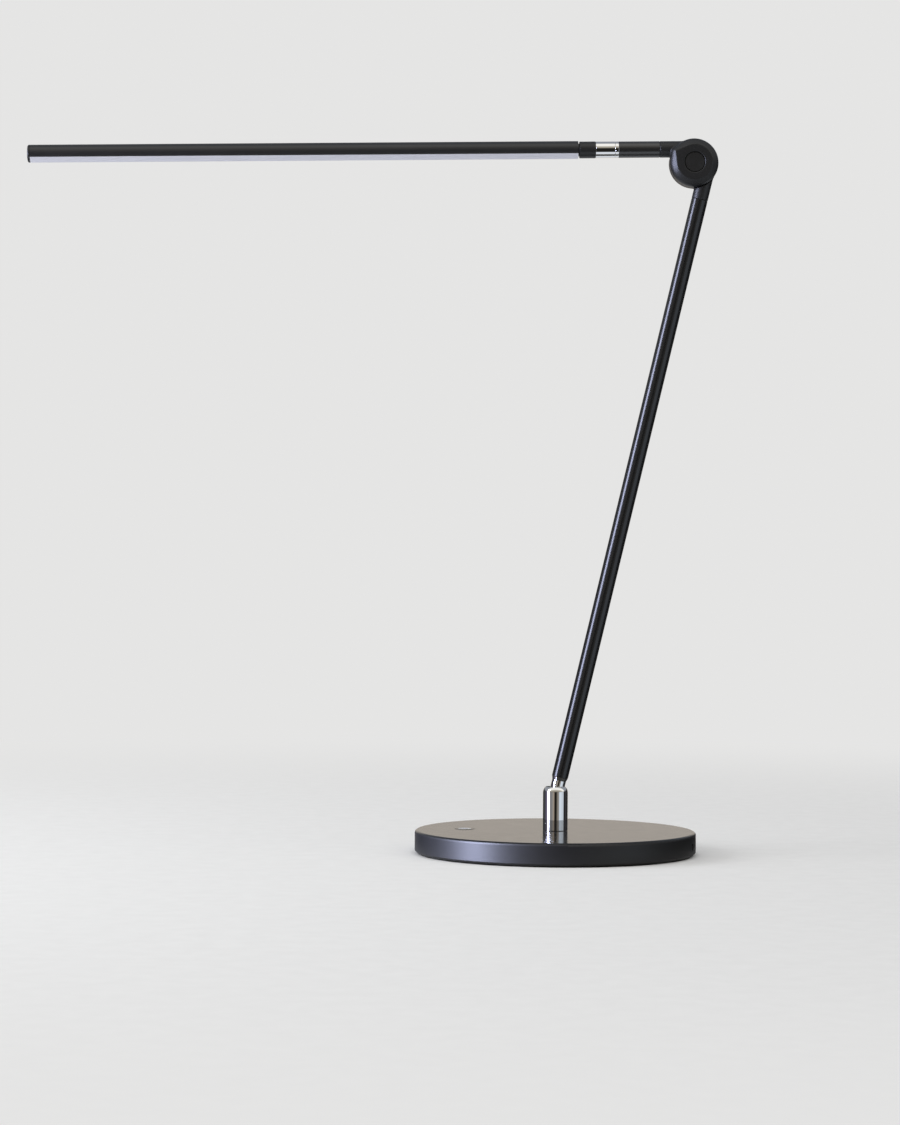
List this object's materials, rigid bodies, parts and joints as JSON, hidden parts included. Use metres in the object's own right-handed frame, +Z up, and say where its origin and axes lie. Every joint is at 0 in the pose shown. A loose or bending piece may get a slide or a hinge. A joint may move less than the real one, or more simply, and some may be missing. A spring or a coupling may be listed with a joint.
{
  "type": "folding led desk lamp",
  "caption": "Slim LED desk lamp on a round weighted base: swivelling leaning post, folding elbow, twisting light bar and a push button.",
  "frame": {"origin": "middle of the base's underside, on the swivel axis", "axes": "+Z up; the arms lie in the XZ plane and the head points toward -X as the lamp stands"},
  "size_m": [0.5447, 0.222, 0.5656],
  "materials": {
    "black_paint": "satin",
    "black_plastic": "matte",
    "chrome": "polished",
    "steel": "brushed",
    "brass": "turned",
    "aluminium": "satin",
    "rubber": "matte",
    "diffuser": "frosted",
    "board": "solder mask",
    "strip": "white solder mask",
    "led": "phosphor"
  },
  "bodies": {
    "base": {"base_cover": "black_paint", "base_weight": "steel", "base_plate": "steel", "foot_pad": "rubber", "base_screws": "steel", "swivel_bush": "brass", "swivel_stop_pin": "steel", "switch_board": "board", "tact_switch": "black_plastic", "power_board": "board", "power_parts": "black_plastic", "board_screws": "steel", "dc_jack": "black_plastic", "dc_jack_pin": "brass", "usb_shell": "steel", "usb_tongue": "black_plastic", "base_wire": "black_plastic", "switch_wire": "black_plastic", "button_spring": "steel"},
    "button": {"button_cap": "black_paint", "button_inlay": "aluminium"},
    "swivel": {"swivel_housing": "chrome", "swivel_fork": "steel", "swivel_shaft": "steel", "swivel_washer": "steel", "swivel_spring_washer": "steel", "swivel_nut": "steel", "trunnion_pins": "steel", "tilt_washers": "brass", "swivel_wire": "black_plastic"},
    "post": {"neck": "chrome", "neck_bush": "black_plastic", "post_tube": "black_paint", "post_knuckle": "black_paint", "elbow_bolt": "steel", "elbow_nut": "steel", "elbow_spring_washer": "steel", "elbow_friction_disc": "brass", "rear_cap": "black_plastic", "post_wire": "black_plastic"},
    "arm": {"arm_knuckle": "black_paint", "elbow_washer": "brass", "front_cap": "black_plastic", "arm_tube": "black_paint", "arm_ring": "chrome", "head_spindle": "steel", "spindle_washer": "brass", "spindle_nut": "steel", "arm_wire": "black_plastic"},
    "head": {"head_sleeve": "chrome", "head_collar": "black_plastic", "twist_stop_pin": "steel", "head_housing": "black_paint", "diffuser": "diffuser", "led_strip": "strip", "leds": "led", "end_cap": "black_plastic", "head_wire": "black_plastic"}
  },
  "joints": [
    {"name": "button_press", "type": "slide", "parent": "base", "child": "button", "axis": [0, 0, -1], "range_m": [0, 0.0008], "stiffness_N_per_m": 900, "springref_m": -0.0012, "deforming": ["button_spring"]},
    {"name": "base_swivel", "type": "hinge", "parent": "base", "child": "swivel", "pos_m": [0, 0, 0.0184], "axis": [0, 0, 1], "range_deg": [-160, 160]},
    {"name": "post_tilt", "type": "hinge", "parent": "swivel", "child": "post", "pos_m": [0, 0, 0.04565], "axis": [0, -1, 0], "range_deg": [0, 26.4]},
    {"name": "elbow", "type": "hinge", "parent": "post", "child": "arm", "pos_m": [0.1058, 0, 0.54642], "axis": [0, -1, 0], "range_deg": [-104, 75.9]},
    {"name": "head_twist", "type": "hinge", "parent": "arm", "child": "head", "pos_m": [0.10562, 0, 0.55777], "axis": [-0.9999, 0, -0.0157], "range_deg": [-90, 90]}
  ]
}
